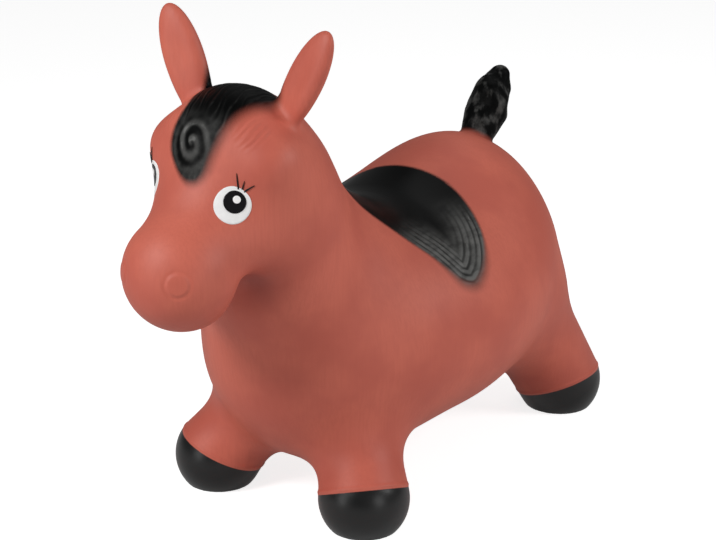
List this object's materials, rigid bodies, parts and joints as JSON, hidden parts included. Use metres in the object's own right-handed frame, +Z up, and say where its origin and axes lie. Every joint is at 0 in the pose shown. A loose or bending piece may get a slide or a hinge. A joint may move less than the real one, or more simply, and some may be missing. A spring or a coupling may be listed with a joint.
{
  "type": "bouncy ride-on animal",
  "caption": "Air-filled hopping horse in moulded vinyl: sprung soles, bending ears and tail, painted saddle, mane and hooves, and a pull-out valve plug under the belly.",
  "frame": {"origin": "middle of the object's box in X and Y, on the floor that the soles stand on", "axes": "+Z up, the horse faces -Y, +X is the horse's left side"},
  "size_m": [0.2832, 0.6009, 0.4815],
  "materials": {
    "moulded_skin": "matt reddish-brown soft vinyl",
    "black_paint": "satin black paint on the vinyl skin, soft sprayed edges",
    "hoof_paint": "glossy black paint on the vinyl skin",
    "white_paint": "satin white paint on the vinyl skin",
    "pupil_paint": "satin black paint on the vinyl skin",
    "valve_vinyl": "white semi-rigid vinyl"
  },
  "bodies": {
    "torso": {"torso_skin": "moulded_skin", "saddle_panel": "black_paint", "head_skin": "moulded_skin", "mane_panel": "black_paint", "forelock": "black_paint", "eye_white_left": "white_paint", "eye_white_right": "white_paint", "pupil_left": "pupil_paint", "pupil_right": "pupil_paint", "valve_seat": "valve_vinyl", "leg_front_left": "moulded_skin", "leg_front_right": "moulded_skin", "leg_hind_left": "moulded_skin", "leg_hind_right": "moulded_skin"},
    "foot_front_left": {"hoof_front_left": "hoof_paint"},
    "foot_front_right": {"hoof_front_right": "hoof_paint"},
    "foot_hind_left": {"hoof_hind_left": "hoof_paint"},
    "foot_hind_right": {"hoof_hind_right": "hoof_paint"},
    "left_ear": {"ear_left": "moulded_skin"},
    "right_ear": {"ear_right": "moulded_skin"},
    "tail_lock": {"tail": "black_paint"},
    "plug": {"valve_plug": "valve_vinyl"}
  },
  "joints": [
    {"name": "squash_front_left", "type": "slide", "parent": "torso", "child": "foot_front_left", "axis": [0, 0, 1], "range_m": [0, 0.012], "stiffness_N_per_m": 4000, "springref_m": -0.003, "deforming": ["leg_front_left"]},
    {"name": "squash_front_right", "type": "slide", "parent": "torso", "child": "foot_front_right", "axis": [0, 0, 1], "range_m": [0, 0.012], "stiffness_N_per_m": 4000, "springref_m": -0.003, "deforming": ["leg_front_right"]},
    {"name": "squash_hind_left", "type": "slide", "parent": "torso", "child": "foot_hind_left", "axis": [0, 0, 1], "range_m": [0, 0.012], "stiffness_N_per_m": 4000, "springref_m": -0.003, "deforming": ["leg_hind_left"]},
    {"name": "squash_hind_right", "type": "slide", "parent": "torso", "child": "foot_hind_right", "axis": [0, 0, 1], "range_m": [0, 0.012], "stiffness_N_per_m": 4000, "springref_m": -0.003, "deforming": ["leg_hind_right"]},
    {"name": "ear_bend_left", "type": "hinge", "parent": "torso", "child": "left_ear", "pos_m": [0.047, -0.16, 0.396], "axis": [0.9022, -0.0141, -0.431], "range_deg": [-20, 20], "stiffness_Nm_per_rad": 0.5},
    {"name": "ear_bend_right", "type": "hinge", "parent": "torso", "child": "right_ear", "pos_m": [-0.047, -0.16, 0.396], "axis": [0.9022, 0.0141, 0.431], "range_deg": [-20, 20], "stiffness_Nm_per_rad": 0.5},
    {"name": "tail_bend", "type": "hinge", "parent": "torso", "child": "tail_lock", "pos_m": [0, 0.214, 0.294], "axis": [1, 0, 0], "range_deg": [-20, 20], "stiffness_Nm_per_rad": 0.3},
    {"name": "plug_pull", "type": "slide", "parent": "torso", "child": "plug", "axis": [0, 0, -1], "range_m": [0, 0.014]}
  ]
}
